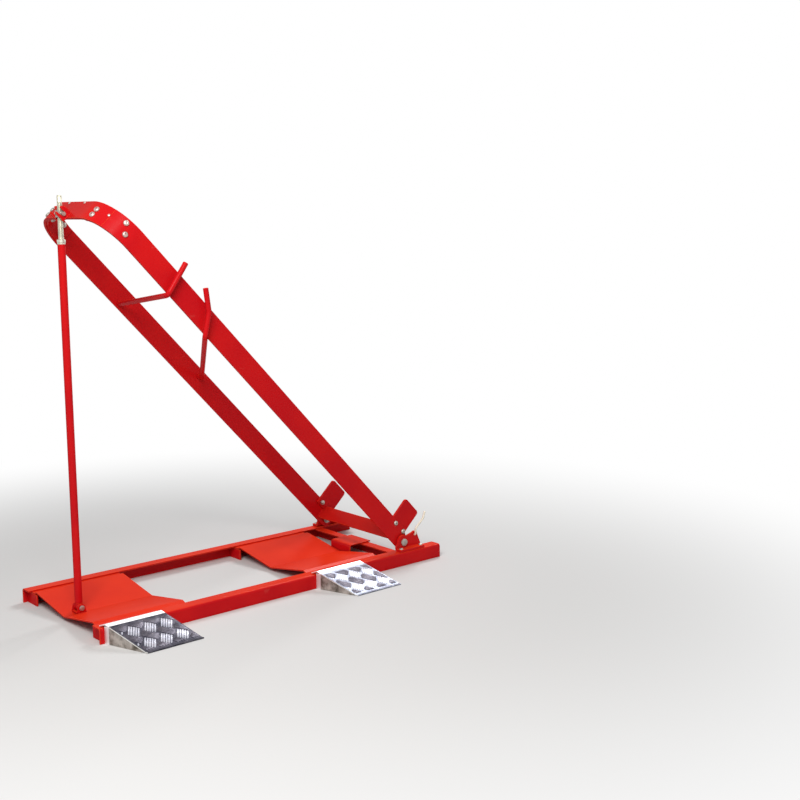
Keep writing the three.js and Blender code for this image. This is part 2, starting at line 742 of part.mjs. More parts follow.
function addProp() {
  const top = tubeTop - footPivotZ;
  const start = tubeAbovePivot + seatGap;
  place(prop, 'prop_tube', stood(ring(tubeRadius, tubeBore, start, top)), steelRed);

  const stem = stood(rod(tubeBore - seatGap, 0, tubeAbovePivot + tubeStem, 12));
  const shoulder = stood(rod(tubeRadius, 0, tubeAbovePivot));
  const eyeHalf = forkHalf - eyeSideFit;
  const eye = join(rod(eyeRadius, -eyeHalf, eyeHalf), stem, shoulder);
  place(prop, 'prop_foot_eye', drilled(eye, footPinRadius + boreClearance, [[0, 0]], 16), steelRed);

  const running = screwRadius + seatGap;
  const bushOuter = tubeBore - seatGap;
  const flangeFoot = top + seatGap;
  const flangeTop = flangeFoot + bushFlange;
  place(prop, 'tube_top_bush', stood(turned([
    [running, top - bushDepth], [bushOuter, top - bushDepth], [bushOuter, flangeFoot],
    [tubeRadius, flangeFoot], [tubeRadius, flangeTop], [running, flangeTop], [running, top - bushDepth],
  ])), zinc);

  const collarFoot = flangeTop + seatGap;
  const collar = ring(thrustRadius, running, collarFoot, collarFoot + thrustLength);
  place(prop, 'thrust_collar', stood(collar), zinc);
  const hexStart = screwTop - footPivotZ - hexLength;
  const round = stood(rod(screwRadius, screwBottom - footPivotZ, hexStart));
  const hexRadius = hexFlats / 2 / Math.cos(Math.PI / 6);
  const hex = stood(rod(hexRadius, hexStart - hexLength, hexStart + hexLength, 6));
  place(prop, 'threaded_rod', join(round, hex), zinc);
}

function addTrunnionNut() {
  const halfDepth = nutDepth / 2;
  const halfWidth = forkHalf - nutSideFit;
  const innerDepth = halfDepth - nutChamfer;
  const innerWidth = halfWidth - nutChamfer;
  const shape = outline([
    [-innerDepth, -halfWidth], [innerDepth, -halfWidth], [halfDepth, -innerWidth],
    [halfDepth, innerWidth], [innerDepth, halfWidth], [-innerDepth, halfWidth],
    [-halfDepth, innerWidth], [-halfDepth, -innerWidth],
  ]);
  const pinEnd = forkHalf + earSheet + trunnionPinOut;
  const bore = stood(rod(screwRadius + seatGap, -nutHeight, nutHeight));
  const nut = cut(join(extruded(shape, nutHeight), rod(trunnionRadius, -pinEnd, pinEnd)), bore);
  place(prop, 'trunnion_nut', nut.translate(0, 0, trunnionHeight - footPivotZ), zinc);
}

addRails();
addCradle('left', leftCradleStart);
addCradle('right', rightCradleStart);
addRamp('left', leftCradleStart);
addRamp('right', rightCradleStart);
addHingeEnd();
addHinges();
addStrap();
addSplices();
addLowEnd();
addStopBar('upper_stop_bar', upperBarNear, upperBarDrop, upperBarLeg, upperBarSkew, upperBarFarRise);
addStopBar('lower_stop_bar', upperBarNear - lowerBarBelow, lowerBarDrop, lowerBarLeg,
  lowerBarSkew, lowerBarFarRise);
addFork();
addHook();
addPropFoot();
addProp();
addTrunnionNut();

export default lift;
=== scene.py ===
# Looks of a side-tipping lift: red powder-coated steel, zinc-plated fittings and tread-plate ramps.
# Metres, +Z up, +X along the rails towards the hinge end, +Y across the base away from the ramps.
# Sizes of the lift are written in millimetres and brought over by MM; those of the studio are in metres.
import json
import math

import bmesh
import bpy
from mathutils import Matrix, Vector


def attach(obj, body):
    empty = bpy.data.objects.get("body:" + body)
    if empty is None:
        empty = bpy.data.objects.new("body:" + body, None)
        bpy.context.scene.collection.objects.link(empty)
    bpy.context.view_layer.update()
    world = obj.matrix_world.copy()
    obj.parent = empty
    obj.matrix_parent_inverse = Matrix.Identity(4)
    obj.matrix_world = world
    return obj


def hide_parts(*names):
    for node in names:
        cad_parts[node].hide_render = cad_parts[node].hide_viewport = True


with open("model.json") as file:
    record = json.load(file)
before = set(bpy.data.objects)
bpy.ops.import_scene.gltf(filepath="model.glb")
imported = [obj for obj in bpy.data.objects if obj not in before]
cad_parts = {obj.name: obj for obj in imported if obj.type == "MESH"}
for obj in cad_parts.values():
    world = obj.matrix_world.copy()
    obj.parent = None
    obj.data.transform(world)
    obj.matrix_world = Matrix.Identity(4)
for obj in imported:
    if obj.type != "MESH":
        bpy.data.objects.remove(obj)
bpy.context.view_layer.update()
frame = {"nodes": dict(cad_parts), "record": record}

MM = 0.001
FULL_TURN = 2 * math.pi
QUARTER_TURN = math.pi / 2
SIDES = (("near", -1), ("far", 1))

# How far apart welded and bolted pieces stand
GAP = 0.3

# The base: half its length and width, its middle line, and its near left corner on the floor
BASE = Matrix.Identity(4)
HALF_LENGTH = 650.0
HALF_WIDTH = 252.5
MIDDLE_Y = 75.0
NEAR_LEFT = Vector((-HALF_LENGTH, MIDDLE_Y - HALF_WIDTH, 0.0))

# The tilting loop: its own axes start at the hinge, with the arms along -X and Z square to them
PIVOT = Vector((504.8, MIDDLE_Y, 73.0))
LOOP_TILT = math.radians(46.6)
LOOP = Matrix.Translation(PIVOT) @ Matrix.Rotation(LOOP_TILT, 4, "Y")
LOOP_HALF = 213.5
LOOP_REACH = 1546.0
STRAP = 8.0
STRAP_LOWER = -26.0
CORNER_OUTER = 117.0
CORNER_X = -(LOOP_REACH - CORNER_OUTER)
CORNER_Y = LOOP_HALF - CORNER_OUTER

BODIES = frame["record"]["behaviour"]["bodies"]
BODY_OF = {node: body for body, nodes in BODIES.items() for node in nodes}


# Shader nodes

# The colour sockets of a Mix node, which has a set of sockets for each kind of data
FIRST_COLOUR = 6
SECOND_COLOUR = 7
MIXED_COLOUR = 2


class Wire:
    """An output socket of a shader node; arithmetic on it adds Math nodes."""

    def __init__(self, nodes, socket):
        self.nodes = nodes
        self.socket = socket

    def _maths(self, operation, *values):
        return self.nodes.node("ShaderNodeMath", {"operation": operation}, dict(enumerate(values)))

    def __add__(self, other):
        return self._maths("ADD", self, other)

    __radd__ = __add__

    def __sub__(self, other):
        return self._maths("SUBTRACT", self, other)

    def __rsub__(self, other):
        return self._maths("SUBTRACT", other, self)

    def __mul__(self, other):
        return self._maths("MULTIPLY", self, other)

    __rmul__ = __mul__

    def between(self, low, high):
        """0 below low, 1 above high, smooth in between."""
        settings = {"interpolation_type": "SMOOTHSTEP", "clamp": True}
        values = {"Value": self, "From Min": low, "From Max": high}
        return self.nodes.node("ShaderNodeMapRange", settings, values)


class Nodes:
    """Shader nodes of one material, or of the world."""

    def __init__(self, tree):
        self.tree = tree

    def set(self, node, values):
        for key, value in values.items():
            if isinstance(value, Wire):
                self.tree.links.new(value.socket, node.inputs[key])
            else:
                node.inputs[key].default_value = value

    def node(self, kind, settings=None, values=None, output=0):
        """Any node: its type, its settings, the values or wires of its sockets, and the output to use."""
        made = self.tree.nodes.new(kind)
        for key, value in (settings or {}).items():
            setattr(made, key, value)
        self.set(made, values or {})
        return Wire(self, made.outputs[output])

    def seen(self):
        """1 where a ray comes from the camera, or off or through something shiny or clear."""
        kinds = ("Camera", "Glossy", "Transmission")
        rays = [self.node("ShaderNodeLightPath", output=f"Is {kind} Ray") for kind in kinds]
        return (rays[0] + rays[1] + rays[2]).between(0, 1)


class Finish(Nodes):
    """A material built up node by node around one Principled shader."""

    def __init__(self, name, **sockets):
        self.material = bpy.data.materials.new(name)
        self.material.use_nodes = True
        super().__init__(self.material.node_tree)
        self.shader = self.tree.nodes["Principled BSDF"]
        self.wear(**sockets)

    def wear(self, **sockets):
        """Sets sockets of the shader; an underscore stands for a space in a socket's name."""
        self.set(self.shader, {key.replace("_", " "): value for key, value in sockets.items()})
        return self.material

    def place(self):
        return self.node("ShaderNodeTexCoord", output="Object")

    def noise(self, scale, detail, roughness=0.55, where=None, distortion=0.0):
        return self.node("ShaderNodeTexNoise", {}, {
            "Vector": where or self.place(), "Scale": scale, "Detail": detail, "Roughness": roughness,
            "Distortion": distortion})

    def stretched(self, along):
        """Place on the piece, squeezed so that a pattern runs long one way."""
        values = {"Vector": self.place(), "Scale": along}
        return self.node("ShaderNodeMapping", {"vector_type": "POINT"}, values)

    def across(self):
        """Place on the piece from near to far, in metres."""
        return self.node("ShaderNodeSeparateXYZ", {}, {"Vector": self.place()}, output="Y")

    def upward(self):
        """How far the surface looks up, from -1 to 1."""
        facing = self.node("ShaderNodeNewGeometry", output="Normal")
        return self.node("ShaderNodeSeparateXYZ", {}, {"Vector": facing}, output="Z")

    def mix(self, share, first, second):
        values = {"Factor": share, FIRST_COLOUR: first, SECOND_COLOUR: second}
        settings = {"data_type": "RGBA", "clamp_factor": True}
        return self.node("ShaderNodeMix", settings, values, output=MIXED_COLOUR)

    def bump(self, height, distance, strength):
        values = {"Height": height, "Distance": distance, "Strength": strength}
        return self.node("ShaderNodeBump", {}, values)


# Finishes of the lift

RED_DEEP = (0.54, 0.006, 0.010, 1)
RED_FULL = (0.62, 0.009, 0.010, 1)
# Painted light: the red of faces that look up, lighter and warmer as if lit from above
RED_PAINTED_TOP_LIGHT = (0.86, 0.05, 0.012, 1)
# Painted highlight: the red of bevelled edges, as if they caught the light
RED_PAINTED_EDGE_HIGHLIGHT = (0.90, 0.10, 0.025, 1)
RED_SCUFFED = (0.62, 0.20, 0.16, 1)


def red_powder_coat():
    """Paint with an orange-peel skin: cloudy and lightly scuffed, with painted light that makes it warmer
    on top and a painted highlight on its edges.
    """
    coat = Finish("red_powder_coat", IOR=1.5, Coat_Roughness=0.25, Specular_IOR_Level=0.0)
    cloud = coat.noise(scale=5.0, detail=4.0)
    grain = coat.noise(scale=900.0, detail=2.0)
    peel = coat.noise(scale=260.0, detail=2.0)
    lengthways = coat.stretched((0.35, 1.0, 1.0))
    rub = coat.noise(scale=46.0, detail=5.0, roughness=0.62, where=lengthways, distortion=0.6)
    scuff = rub.between(0.66, 0.74)
    # The bevelled faces marked edge get a painted highlight
    edge_highlight = coat.node("ShaderNodeAttribute", {"attribute_name": "edge"}, output="Fac")
    red = coat.mix(cloud.between(0.35, 0.7), RED_DEEP, RED_FULL)
    # Faces that look up are painted lighter and warmer, as painted top light
    top_lit = coat.mix(coat.upward().between(0.6, 1.0) * (0.35 + cloud * 0.5), red, RED_PAINTED_TOP_LIGHT)
    edge_highlighted = coat.mix(edge_highlight * 0.6, top_lit, RED_PAINTED_EDGE_HIGHLIGHT)
    scuffed = coat.mix(scuff * 0.10, edge_highlighted, RED_SCUFFED)
    return coat.wear(
        Base_Color=scuffed, Roughness=0.42 + cloud * 0.10 + scuff * 0.18, Coat_Weight=0.15,
        Normal=coat.bump(peel + grain * 0.35, distance=0.00012, strength=0.55))


def zinc_plating(name, light, dark, metallic, rough):
    """Plating that clouds from a light to a dark colour over a fine grain."""
    plate = Finish(name, Metallic=metallic)
    cloud = plate.noise(scale=60.0, detail=4.0)
    grain = plate.noise(scale=1400.0, detail=2.0)
    return plate.wear(
        Base_Color=plate.mix(cloud.between(0.3, 0.7), light, dark), Roughness=rough + cloud * 0.16,
        Normal=plate.bump(grain, distance=0.00005, strength=0.4))


# The Y beyond which a painted highlight lies along the ramps' crests, and how softly that starts
CREST_Y = -193.5
CREST_BLUR = 1.0

METAL_SPECKED = (0.42, 0.40, 0.38, 1)
METAL_PAINTED_HIGHLIGHT = (0.93, 0.93, 0.94, 1)


def tread_metal(name, lit, dull, rough):
    """Bare plate: cloudy, scratched and specked, with a painted highlight along the crest of a ramp."""
    plate = Finish(name, Metallic=1.0)
    cloud = plate.noise(scale=34.0, detail=4.0)
    lengthways = plate.stretched((0.12, 1.0, 1.0))
    scratch = plate.noise(scale=420.0, detail=3.0, roughness=0.6, where=lengthways)
    speck = plate.noise(scale=170.0, detail=3.0).between(0.62, 0.72)
    colour = plate.mix(cloud.between(0.32, 0.68), lit, dull)
    specked = plate.mix(speck * 0.25, colour, METAL_SPECKED)
    # A painted highlight along the crest, where the ramp's bend catches the light
    crest = (plate.across() - CREST_Y * MM).between(-CREST_BLUR * MM, CREST_BLUR * MM)
    crest_highlighted = plate.mix(crest * (0.65 + cloud * 0.5), specked, METAL_PAINTED_HIGHLIGHT)
    return plate.wear(
        Base_Color=crest_highlighted, Roughness=rough + cloud * 0.14,
        Normal=plate.bump(scratch, distance=0.0001, strength=0.45))


# A zinc plating has a light and a dark colour, how metallic and how rough it is; bare metal has a lit
# and a dull colour and how rough it is
RED = red_powder_coat()
# The near heads' zinc is tinted pink as a painted reflection of the red paint around them
ZINC_PAINTED_RED_REFLECTION = zinc_plating("zinc_painted_red_reflection", (0.68, 0.55, 0.50, 1), (0.48, 0.34, 0.31, 1), 0.85, 0.22)
ZINC_DULL = zinc_plating("dull_zinc", (0.50, 0.46, 0.41, 1), (0.34, 0.30, 0.27, 1), 0.9, 0.36)
ZINC_SCREW = zinc_plating("screw_zinc", (0.72, 0.71, 0.60, 1), (0.58, 0.57, 0.47, 1), 0.85, 0.28)
ZINC_END = zinc_plating("screw_end_zinc", (0.50, 0.48, 0.37, 1), (0.34, 0.33, 0.26, 1), 0.6, 0.42)
ZINC_CREAM = zinc_plating("cream_zinc", (0.88, 0.82, 0.68, 1), (0.78, 0.71, 0.56, 1), 0.3, 0.34)
PLATE = tread_metal("tread_plate_ground", (0.10, 0.095, 0.12, 1), (0.035, 0.035, 0.05, 1), 0.40)
# The right ramp's deck: the same plate painted lighter, as painted light
PLATE_PAINTED_LIT = tread_metal("tread_plate_painted_lit", (0.32, 0.35, 0.42, 1), (0.20, 0.21, 0.27, 1), 0.38)
# Lit and shaded copies of the bars' metal: painted light on one set, painted shade on the other
BARS_PAINTED_LIT = tread_metal("tread_bars_painted_lit", (0.60, 0.61, 0.67, 1), (0.42, 0.43, 0.50, 1), 0.27)
BARS_PAINTED_SHADE = tread_metal("tread_bars_painted_shade", (0.16, 0.15, 0.18, 1), (0.09, 0.085, 0.11, 1), 0.36)
# Bright for sheared edges, and as a painted highlight on the decks' lips at the crest
SHEARED_EDGE_AND_CREST_HIGHLIGHT = tread_metal("tread_plate_sheared_edge_and_crest_highlight", (0.93, 0.93, 0.92, 1), (0.80, 0.79, 0.76, 1), 0.28)
CHEEK = tread_metal("ramp_cheek_metal", (0.60, 0.55, 0.51, 1), (0.12, 0.10, 0.08, 1), 0.40)


# Shapes

# In metres: how near two points of a solid's mesh are one point, and how short an edge is dropped
WELD_REACH = 0.00002
SLIVER = 0.000004

# Folds under FLAT are smoothed out of a solid's mesh, and edges over SHARP are rounded
FLAT = math.radians(0.5)
SHARP = math.radians(28)

# Marks a ring of a turned profile as a hexagon
HEX = "hexagon"


def placed(name, data):
    """A new object in the scene."""
    made = bpy.data.objects.new(name, data)
    bpy.context.scene.collection.objects.link(made)
    return made


def triangulate_large(shape):
    """Parts the faces that have more than four corners into triangles."""
    bmesh.ops.triangulate(shape, faces=[face for face in shape.faces if len(face.verts) > 4])


def finished(shape, name, material, crease):
    """Turns a shape into a piece, shaded softly where its faces meet at less than crease degrees."""
    bmesh.ops.recalc_face_normals(shape, faces=shape.faces)
    data = bpy.data.meshes.new(name)
    shape.to_mesh(data)
    shape.free()
    for face in data.polygons:
        face.use_smooth = True
    data.set_sharp_from_angle(angle=math.radians(crease))
    data.materials.append(material)
    return placed(name, data)


def settle(piece, body=None, node=None):
    """Says what a piece stands for or moves with."""
    if node:
        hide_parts(node)
    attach(piece, body or BODY_OF[node])
    return piece


def softened(node, material, edge, second=None, wears=None):
    """Stands a copy with rounded edges in for a CAD piece; the second finish goes where wears says."""
    shape = bmesh.new()
    shape.from_mesh(frame["nodes"][node].data)
    # Faces made by the bevel are marked edge; the red coat paints a highlight on them
    rim = shape.faces.layers.float.new("edge")
    bmesh.ops.remove_doubles(shape, verts=shape.verts, dist=WELD_REACH)
    bmesh.ops.dissolve_limit(shape, angle_limit=FLAT, verts=shape.verts, edges=shape.edges)
    sharp = [e for e in shape.edges if len(e.link_faces) == 2 and e.calc_face_angle(0) > SHARP]
    made = bmesh.ops.bevel(shape, geom=sharp, offset=edge * MM, offset_type="OFFSET", segments=2,
                           profile=0.5, affect="EDGES", clamp_overlap=True)
    for face in made["faces"]:
        face[rim] = 1.0
    bmesh.ops.dissolve_degenerate(shape, dist=SLIVER, edges=shape.edges)
    triangulate_large(shape)
    if second:
        for face in shape.faces:
            if wears(face.calc_center_median() / MM, face.normal):
                face.material_index = 1
    piece = finished(shape, f"{node}_finished", material, crease=24.0)
    if second:
        piece.data.materials.append(second)
    piece.modifiers.new("flat faces", "WEIGHTED_NORMAL").keep_sharp = True
    return settle(piece, node=node)


def hexagon_reach(flats, angle):
    """From the middle of a hexagon to its outline at an angle, where flats is half its width."""
    half_side = FULL_TURN / 12
    return flats / math.cos((angle + half_side) % (FULL_TURN / 6) - half_side)


def ring_of(shape, place, sides, radius, station, form="round"):
    """A ring of vertices round Z."""
    ring = []
    for i in range(sides):
        angle = FULL_TURN * i / sides
        reach = hexagon_reach(radius, angle) if form == HEX else radius
        point = Vector((reach * math.cos(angle), reach * math.sin(angle), station))
        ring.append(shape.verts.new(place @ point * MM))
    return ring


def skinned(shape, rings, closed=False):
    """Skins a run of equal rings, and caps its ends unless it closes on itself."""
    pairs = list(zip(rings, rings[1:])) + ([(rings[-1], rings[0])] if closed else [])
    sides = len(rings[0])
    for first, second in pairs:
        for i in range(sides):
            j = (i + 1) % sides
            shape.faces.new((first[i], first[j], second[j], second[i]))
    if not closed:
        shape.faces.new(rings[0][::-1])
        shape.faces.new(rings[-1])


def turned(name, profile, place, material, sides=36, closed=False):
    """A piece turned about Z from (radius, station) pairs, with HEX after them where it is a hexagon."""
    shape = bmesh.new()
    skinned(shape, [ring_of(shape, place, sides, *spot) for spot in profile], closed)
    return finished(shape, name, material, crease=40.0)


def turned_node(node, profile, place, material, closed=False):
    """A turned fitting that stands in for a CAD one."""
    piece = turned(f"{node}_turned", profile, place, material, closed=closed)
    return settle(piece, node=node)


def turned_extra(name, profile, place, material, body):
    """A turned fitting that no CAD piece stands for."""
    return settle(turned(name, profile, place, material), body=body)


def tube_profile(outer, inner, low, high, round_over):
    """Section of a tube with its four rims rounded over."""
    r = round_over
    return [(inner + r, low), (outer - r, low), (outer, low + r), (outer, high - r), (outer - r, high),
            (inner + r, high), (inner, high - r), (inner, low + r)]


def aimed(origin, direction, frame_of=BASE):
    """Place of a turned piece whose Z points in a direction."""
    turn = Vector(direction).to_track_quat("Z", "Y").to_matrix().to_4x4()
    return frame_of @ Matrix.Translation(Vector(origin)) @ turn


def rounded_route(corners, bend, steps=10):
    """Points along a bar with round bends, as the solids' own bars run."""
    corners = [Vector(corner) for corner in corners]
    points = [corners[0]]
    for before, corner, after in zip(corners, corners[1:], corners[2:]):
        back = (before - corner).normalized()
        ahead = (after - corner).normalized()
        setback = bend / math.tan(back.angle(ahead) / 2)
        start = corner + back * setback
        end = corner + ahead * setback
        for i in range(steps + 1):
            t = i / steps
            points.append(start * (1 - t) ** 2 + corner * 2 * t * (1 - t) + end * t ** 2)
    points.append(corners[-1])
    return points


def swept(name, stations, place, material, sides):
    """A round bar through (centre, radius) stations."""
    shape = bmesh.new()
    centres = [centre for centre, _ in stations]
    angles = [FULL_TURN * i / sides for i in range(sides)]
    side = (centres[1] - centres[0]).orthogonal().normalized()
    rings = []
    for i, (centre, reach) in enumerate(stations):
        heading = (centres[min(i + 1, len(centres) - 1)] - centres[max(i - 1, 0)]).normalized()
        side = (side - heading * side.dot(heading)).normalized()
        across = heading.cross(side)
        points = [centre + (side * math.cos(a) + across * math.sin(a)) * reach for a in angles]
        rings.append([shape.verts.new(place @ point * MM) for point in points])
    skinned(shape, rings)
    return finished(shape, name, material, crease=50.0)


def quarter_turn(steps):
    """Angles of a quarter turn in equal steps, with both its ends."""
    return [QUARTER_TURN * i / steps for i in range(steps + 1)]


def rounded_end(tip, inward, radius, rounding):
    """Stations of a bar's rounded-over end, from its tip inward."""
    return [(tip + inward * rounding * (1 - math.cos(t)), radius - rounding * (1 - math.sin(t)))
            for t in quarter_turn(4)]


def bar_stations(route, radius, rounding):
    """Stations along a bar whose ends are rounded over."""
    first = (route[1] - route[0]).normalized()
    last = (route[-2] - route[-1]).normalized()
    opening = rounded_end(route[0], first, radius, rounding)
    closing = rounded_end(route[-1], last, radius, rounding)[::-1]
    return opening + [(point, radius) for point in route[1:-1]] + closing


# A weld's ripples: their pitch, the stations in each, their swell, and the fewest stations in a weld
BEAD_PITCH = 3.2
BEAD_STATIONS = 6
BEAD_SWELL = 0.13
FEWEST_STATIONS = 10

# A weld's tips: their share of its thickness, and the run over which a whole thickness is laid on
BEAD_TIP = 0.35
BEAD_RUN_IN = 4.0


def weld_bead(name, start, end, radius, place, body):
    """A short run of weld, rippled as the arc laid it."""
    start, end = Vector(start), Vector(end)
    length = (end - start).length
    count = max(FEWEST_STATIONS, round(length / BEAD_PITCH * BEAD_STATIONS))
    stations = []
    for i in range(count + 1):
        share = i / count
        swell = 1 + BEAD_SWELL * math.sin(FULL_TURN * share * length / BEAD_PITCH)
        taper = min(1.0, BEAD_TIP + min(share, 1 - share) * length / BEAD_RUN_IN)
        stations.append((start.lerp(end, share), radius * swell * taper))
    return settle(swept(name, stations, place, RED, sides=12), body=body)


# Base

def add_base():
    for node in ("near_rail", "far_rail", "hinge_cross_member", "centre_tie_plate",
                 "near_hinge_bracket", "far_hinge_bracket", "prop_foot_bracket"):
        softened(node, RED, edge=1.0)
    for name in ("left", "right"):
        softened(f"{name}_cradle", RED, edge=1.0)
        for side, _ in SIDES:
            softened(f"{name}_cradle_{side}_foot", RED, edge=0.8)


# Ramps: where they start, from the left end of the base, and the finish of their decks; the right deck is
# a lighter copy, painted as if it caught more light
RAMPS = (("left", 14.0, PLATE), ("right", 757.0, PLATE_PAINTED_LIT))

# How far a ramp leans to the left over its depth from toe to crest, and its slope, as rise over run
RAMP_SKEW = 50.0
RAMP_DEPTH = 150.0
RAMP_SLOPE = math.atan2(52.8, 136.8)

# The tread on a ramp: its width, its length up the slope, how far out from the near rail and how high
# it starts, and its bare margin
TREAD_WIDTH = 180.0
TREAD_LENGTH = 130.0
TREAD_TOE_OUT = 141.6
TREAD_TOE_Z = 4.3
TREAD_MARGIN = 4.0

# Groups of raised bars stand in every other place of a grid, across a ramp and up it: bars in its odd
# rows, painted bright as painted light, and bars that lean the other way in its even rows, painted dull
# as painted shade
GROUP_START = (15.5, 1.0)
GROUP_PITCH = (26, 30)
GROUP_ROWS = range(-1, 6)
GROUP_COLUMNS = range(-1, 8)
GROUP_LEAN = math.radians(49)

# The bars of a group: rows from its middle, pitch, half length, and how much shorter each row is
BAR_ROWS = range(-2, 3)
BAR_PITCH = 5.9
BAR_HALF = 23.0
BAR_SHORTER = 0.8
BAR_SHORTEST = 8.0

# One bar: half its width at the ends and between them, the share of it that is flat on top, its height,
# its depth into the plate, and the length of its sloping ends
BAR_END = 0.9
BAR_WIDE = 2.6
BAR_FLAT = 0.72
BAR_RISE = 1.3
BAR_SUNK = 0.6
BAR_TAPER = 3.0

# A face of a deck is sheared where it looks sideways; beyond this Y at the near rail it gets a painted
# highlight along the crest
SIDEWAYS = 0.6
DECK_LIP_Y = -189.0


def ramp_plane(start):
    """Axes of a ramp's slope: its toe, across the ramp, up the slope, and square to it."""
    lean = RAMP_SKEW / RAMP_DEPTH
    toe = NEAR_LEFT + Vector((start + lean * TREAD_TOE_OUT, -TREAD_TOE_OUT, TREAD_TOE_Z))
    up = Vector((-lean * math.cos(RAMP_SLOPE), math.cos(RAMP_SLOPE), math.sin(RAMP_SLOPE)))
    return toe, Vector((1, 0, 0)), up, Vector((0, -math.sin(RAMP_SLOPE), math.cos(RAMP_SLOPE)))


def clipped(middle, along, half):
    """Stations between which a tread bar lies on the ramp."""
    low, high = -half, half
    for place, step, limit in ((middle.x, along.x, TREAD_WIDTH), (middle.y, along.y, TREAD_LENGTH)):
        ends = sorted(((TREAD_MARGIN - place) / step, (limit - TREAD_MARGIN - place) / step))
        low, high = max(low, ends[0]), min(high, ends[1])
    return low, high


def tread_bars(name, start, centres, lean, material):
    """Groups of raised bars on a ramp, each group five parallel bars with sloping ends."""
    toe, across, up, out = ramp_plane(start)
    shape = bmesh.new()
    along = Vector((math.cos(lean), math.sin(lean)))
    beside = Vector((-along.y, along.x))
    for centre in centres:
        for row in BAR_ROWS:
            middle = Vector(centre) + beside * row * BAR_PITCH
            low, high = clipped(middle, along, BAR_HALF - abs(row) * BAR_SHORTER)
            if high - low < BAR_SHORTEST:
                continue
            stations = ((low, BAR_END, 0.0), (low + BAR_TAPER, BAR_WIDE, BAR_RISE),
                        (high - BAR_TAPER, BAR_WIDE, BAR_RISE), (high, BAR_END, 0.0))
            rings = []
            for station, wide, rise in stations:
                section = ((-wide, -BAR_SUNK), (-wide * BAR_FLAT, rise), (wide * BAR_FLAT, rise),
                           (wide, -BAR_SUNK))
                ring = []
                for over, lift in section:
                    flat = middle + along * station + beside * over
                    point = toe + across * flat.x + up * flat.y + out * lift
                    ring.append(shape.verts.new(point * MM))
                rings.append(ring)
            skinned(shape, rings)
    return settle(finished(shape, name, material, crease=35.0), body="base")


def group_centres(odd):
    """Middles of the groups of bars in the odd rows of the grid, or in its even ones."""
    places = [(column, row) for row in GROUP_ROWS if row % 2 == odd for column in GROUP_COLUMNS]
    return [(GROUP_START[0] + GROUP_PITCH[0] * column, GROUP_START[1] + GROUP_PITCH[1] * row)
            for column, row in places if (row + column) % 2 == 0]


def sheared(place, normal):
    """Whether a face of a ramp's deck shows its sheared, unworn edge, or lies on the crest's lip, which
    gets a painted highlight.
    """
    return abs(normal.x) > SIDEWAYS or place.y > DECK_LIP_Y


def add_ramps():
    for name, start, plate in RAMPS:
        tread_bars(f"{name}_ramp_bright_bars", start, group_centres(odd=1), GROUP_LEAN, BARS_PAINTED_LIT)
        tread_bars(f"{name}_ramp_dull_bars", start, group_centres(odd=0), -GROUP_LEAN, BARS_PAINTED_SHADE)
        softened(f"{name}_ramp_deck", plate, edge=0.9, second=SHEARED_EDGE_AND_CREST_HIGHLIGHT, wears=sheared)
        for side in ("left", "right"):
            softened(f"{name}_ramp_{side}_cheek", CHEEK, edge=0.6)


# Hinge fittings: profiles of (radius, station), stations running in from the side of the base
HINGE_PIN = [(10.5, 20.7), (12.4, 21.2), (13.0, 22.4), (13.0, 26.2), (12.5, 26.7), (8.0, 26.7),
             (8.0, 57.0), (7.0, 58.0)]
HINGE_RINGS = (("hinge_washer", 15.0, 35.3, 38.7), ("pin_collar", 13.0, 47.3, 53.3))
HINGE_RING_BORE = 8.4

# Bolts of a hinge bracket: along the rail from the pin, in from the side of the base, and up
BRACKET_BOLTS_X = (-22.0, 66.0)
BRACKET_BOLT_IN = 15.0
BRACKET_BOLT_Z = 54.4
BRACKET_BOLT_RADIUS = 4.0


def add_hinges():
    for side, sign in SIDES:
        side_y = MIDDLE_Y + sign * HALF_WIDTH
        place = aimed((PIVOT.x, side_y, PIVOT.z), (0, -sign, 0))
        turned_node(f"{side}_hinge_pin", HINGE_PIN, place, ZINC_DULL)
        for name, outer, low, high in HINGE_RINGS:
            profile = tube_profile(outer, HINGE_RING_BORE, low, high, round_over=0.5)
            turned_node(f"{side}_{name}", profile, place, ZINC_DULL, closed=True)
        for i, ahead in enumerate(BRACKET_BOLTS_X):
            seat = (PIVOT.x + ahead, side_y - sign * BRACKET_BOLT_IN, BRACKET_BOLT_Z)
            place = aimed(seat, (0, 0, -1))
            head = bolt_head(BRACKET_BOLT_RADIUS)
            turned_extra(f"{side}_bracket_bolt_{i + 1}", head, place, ZINC_DULL, "base")


# Bolts of the loop: radius, and what they grip at a splice and at a post
BOLT_RADIUS = 5.0
SPLICE_GRIP = 15.2
POST_GRIP = 16.9

# Places round a corner of the loop: degrees from the arm, and height above the strap's lower edge
SPLICE_BOLTS = ((14.7, 24.0), (23.5, 51.0), (69.5, 19.0), (69.5, 39.0))
CORNER_RIVET = (48.0, 40.0)

# Places of the other heads: along the arm and up, and out from the loop's middle and up its end
POST_BOLTS_X = (-68.0, -20.0)
POST_BOLT_Z = 29.0
END_RIVET_Y = 48.0
END_RIVET_Z = STRAP_LOWER + 60.0
RIVET_RADIUS = 4.2

# Welds of the fork ears and of the lower cross strap, in the loop's own axes
EAR_WELD_Y = 20.6
EAR_WELD_Z = (-37.0, -9.0)
EAR_WELD_RADIUS = 2.2
CROSS_STRAP_WELDS_X = ((-39.3, "upper"), (-30.7, "lower"))
CROSS_STRAP_WELD_Y = 204.9
CROSS_STRAP_WELD_Z = (-16.0, 14.0)
CROSS_STRAP_WELD_RADIUS = 2.0

# A button head with its hexagon socket, in shares of the shank's radius
BUTTON_HEAD = ((0.52, -0.45, HEX), (0.52, -1.08, HEX), (0.66, -1.1), (1.05, -1.04), (1.42, -0.80),
               (1.68, -0.42), (1.75, -0.15), (1.7, 0.0), (1.0, 0.0))

